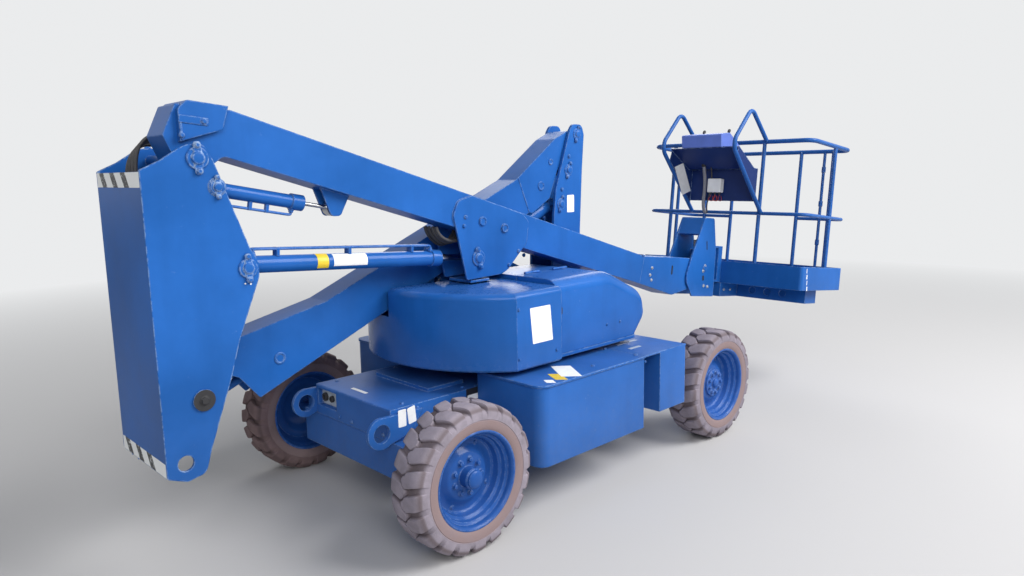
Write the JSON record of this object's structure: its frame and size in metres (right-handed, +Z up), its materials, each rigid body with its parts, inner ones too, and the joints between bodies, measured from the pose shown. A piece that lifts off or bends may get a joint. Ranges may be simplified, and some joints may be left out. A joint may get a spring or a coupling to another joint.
{
  "type": "articulated boom lift",
  "caption": "Electric articulated boom lift, stowed: turntable on a wheeled chassis, tower arm, upright, main boom and a railed work platform.",
  "frame": {"origin": "on the ground under the middle of the overall box, stowed", "axes": "+X towards the work platform, +Y to the machine's left, +Z up"},
  "size_m": [5.279, 1.74, 2.2001],
  "materials": {
    "blue_paint": "satin machine enamel",
    "dark_blue_cover": "painted moulding, satin",
    "tyre_rubber": "dusty matt rubber",
    "chrome_rod": "polished",
    "steel": "machined",
    "black_plastic": "matt",
    "white_plastic": "moulded, matt",
    "grey_paint": "satin"
  },
  "bodies": {
    "chassis": {"chassis_frame": "blue_paint", "rear_deck": "blue_paint", "battery_box_right": "blue_paint", "battery_box_left": "blue_paint", "battery_lid_right": "blue_paint", "battery_lid_left": "blue_paint", "tie_down_right": "blue_paint", "tie_down_left": "blue_paint", "slew_ring": "steel", "steer_axle_beam": "blue_paint", "drive_axle": "blue_paint"},
    "knuckle_right": {"steer_knuckle_right": "blue_paint"},
    "knuckle_left": {"steer_knuckle_left": "blue_paint"},
    "steer_wheel_right": {"steer_wheel_right": "blue_paint", "steer_tyre_right": "tyre_rubber"},
    "steer_wheel_left": {"steer_wheel_left": "blue_paint", "steer_tyre_left": "tyre_rubber"},
    "drive_wheel_right": {"drive_wheel_right": "blue_paint", "drive_tyre_right": "tyre_rubber"},
    "drive_wheel_left": {"drive_wheel_left": "blue_paint", "drive_tyre_left": "tyre_rubber"},
    "turntable": {"turntable_base": "blue_paint", "tower_mast": "blue_paint", "front_cover": "dark_blue_cover", "hood_bridge_right": "dark_blue_cover", "hood_bridge_left": "dark_blue_cover", "hydraulic_tank": "black_plastic", "power_unit": "black_plastic", "boom_rest": "blue_paint"},
    "hood_right": {"tail_hood_right": "dark_blue_cover"},
    "hood_left": {"tail_hood_left": "dark_blue_cover"},
    "tower_arm": {"tower_arm": "blue_paint"},
    "tower_link": {"tower_link": "blue_paint"},
    "tower_cylinder_barrel": {"tower_cylinder_barrel": "blue_paint"},
    "tower_cylinder_rod": {"tower_cylinder_rod": "chrome_rod"},
    "upright": {"upright": "blue_paint"},
    "boom": {"boom": "blue_paint", "boom_head": "blue_paint", "boom_tail_cap": "blue_paint"},
    "lift_cylinder_barrel": {"lift_cylinder_barrel": "blue_paint"},
    "lift_cylinder_rod": {"lift_cylinder_rod": "chrome_rod"},
    "level_cylinder_barrel": {"level_cylinder_barrel": "blue_paint"},
    "level_cylinder_rod": {"level_cylinder_rod": "chrome_rod"},
    "rotator_bracket": {"rotator_bracket": "blue_paint"},
    "platform": {"platform_mount": "blue_paint", "platform_base": "blue_paint", "platform_support": "blue_paint", "platform_top_rail": "blue_paint", "platform_mid_rail": "blue_paint", "platform_posts": "blue_paint", "platform_hoops": "blue_paint", "console_guard": "blue_paint", "control_console": "blue_paint", "junction_box": "white_plastic"}
  },
  "joints": [
    {"name": "steer_right", "type": "hinge", "parent": "chassis", "child": "knuckle_right", "pos_m": [-1.48052, -0.608, 0.357], "axis": [0, 0, 1], "range_deg": [-32, 32]},
    {"name": "steer_left", "type": "hinge", "parent": "chassis", "child": "knuckle_left", "pos_m": [-1.48052, 0.608, 0.357], "axis": [0, 0, 1], "range_deg": [-32, 32]},
    {"name": "steer_wheel_right_spin", "type": "hinge", "parent": "knuckle_right", "child": "steer_wheel_right", "pos_m": [-1.48052, -0.759, 0.357], "axis": [0, 1, 0], "continuous": true},
    {"name": "steer_wheel_left_spin", "type": "hinge", "parent": "knuckle_left", "child": "steer_wheel_left", "pos_m": [-1.48052, 0.759, 0.357], "axis": [0, 1, 0], "continuous": true},
    {"name": "drive_wheel_right_spin", "type": "hinge", "parent": "chassis", "child": "drive_wheel_right", "pos_m": [0.66348, -0.759, 0.357], "axis": [0, 1, 0], "continuous": true},
    {"name": "drive_wheel_left_spin", "type": "hinge", "parent": "chassis", "child": "drive_wheel_left", "pos_m": [0.66348, 0.759, 0.357], "axis": [0, 1, 0], "continuous": true},
    {"name": "slew", "type": "hinge", "parent": "chassis", "child": "turntable", "pos_m": [-0.40852, 0, 0.7], "axis": [0, 0, 1], "range_deg": [-180, 180]},
    {"name": "hood_right_open", "type": "hinge", "parent": "turntable", "child": "hood_right", "pos_m": [-0.40852, -0.29, 1.1793], "axis": [-1, 0, 0], "range_deg": [0, 60]},
    {"name": "hood_left_open", "type": "hinge", "parent": "turntable", "child": "hood_left", "pos_m": [-0.40852, 0.29, 1.1793], "axis": [1, 0, 0], "range_deg": [0, 60]},
    {"name": "tower_lift", "type": "hinge", "parent": "turntable", "child": "tower_arm", "pos_m": [0.24348, 0.14, 2.002], "axis": [0, 1, 0], "range_deg": [0, 88]},
    {"name": "tower_link_turn", "type": "hinge", "parent": "turntable", "child": "tower_link", "pos_m": [0.15548, 0.14, 1.765], "axis": [0, 1, 0], "range_deg": [0, 88.5]},
    {"name": "upright_level", "type": "hinge", "parent": "tower_arm", "child": "upright", "pos_m": [-2.46643, 0, 0.84389], "axis": [0, 1, 0], "range_deg": [-88.5, 0]},
    {"name": "tower_barrel_turn", "type": "hinge", "parent": "turntable", "child": "tower_cylinder_barrel", "pos_m": [0.07948, 0.14, 1.544], "axis": [0, 1, 0], "range_deg": [0, 88.1]},
    {"name": "tower_rod_run", "type": "slide", "parent": "tower_cylinder_barrel", "child": "tower_cylinder_rod", "axis": [-0.9195, 0, -0.3932], "range_m": [0, 0.678]},
    {"name": "boom_lift", "type": "hinge", "parent": "upright", "child": "boom", "pos_m": [-2.41452, -0.11, 1.838], "axis": [0, -1, 0], "range_deg": [0, 75]},
    {"name": "lift_barrel_turn", "type": "hinge", "parent": "upright", "child": "lift_cylinder_barrel", "pos_m": [-2.23652, -0.11, 1.375], "axis": [0, -1, 0], "range_deg": [0, 71.6]},
    {"name": "lift_rod_run", "type": "slide", "parent": "lift_cylinder_barrel", "child": "lift_cylinder_rod", "axis": [0.998, 0, -0.0637], "range_m": [0, 0.596]},
    {"name": "level_barrel_turn", "type": "hinge", "parent": "upright", "child": "level_cylinder_barrel", "pos_m": [-2.34252, -0.11, 1.721], "axis": [0, -1, 0], "range_deg": [0, 76.5]},
    {"name": "level_rod_run", "type": "slide", "parent": "level_cylinder_barrel", "child": "level_cylinder_rod", "axis": [0.9823, 0, -0.1873], "range_m": [0, 0.169]},
    {"name": "platform_level", "type": "hinge", "parent": "boom", "child": "rotator_bracket", "pos_m": [1.46548, -0.11, 0.992], "axis": [0, -1, 0], "range_deg": [-75.5, 0]},
    {"name": "platform_rotate", "type": "hinge", "parent": "rotator_bracket", "child": "platform", "pos_m": [1.68148, -0.11, 1], "axis": [0.1132, 0, 0.9936], "range_deg": [-90, 90]}
  ],
  "couplings": [
    {"joint": "steer_left", "follows": "steer_right", "ratio": 1},
    {"joint": "tower_link_turn", "follows": "tower_lift", "ratio": 1},
    {"joint": "upright_level", "follows": "tower_lift", "ratio": -1},
    {"joint": "tower_barrel_turn", "follows": "tower_lift", "ratio": 0.99533},
    {"joint": "tower_rod_run", "follows": "tower_lift", "m_per_rad": 0.44},
    {"joint": "lift_barrel_turn", "follows": "boom_lift", "ratio": 0.9477},
    {"joint": "lift_rod_run", "follows": "boom_lift", "m_per_rad": 0.45338},
    {"joint": "level_barrel_turn", "follows": "boom_lift", "ratio": 1.0137},
    {"joint": "level_rod_run", "follows": "boom_lift", "m_per_rad": 0.12741},
    {"joint": "platform_level", "follows": "boom_lift", "ratio": -1}
  ]
}
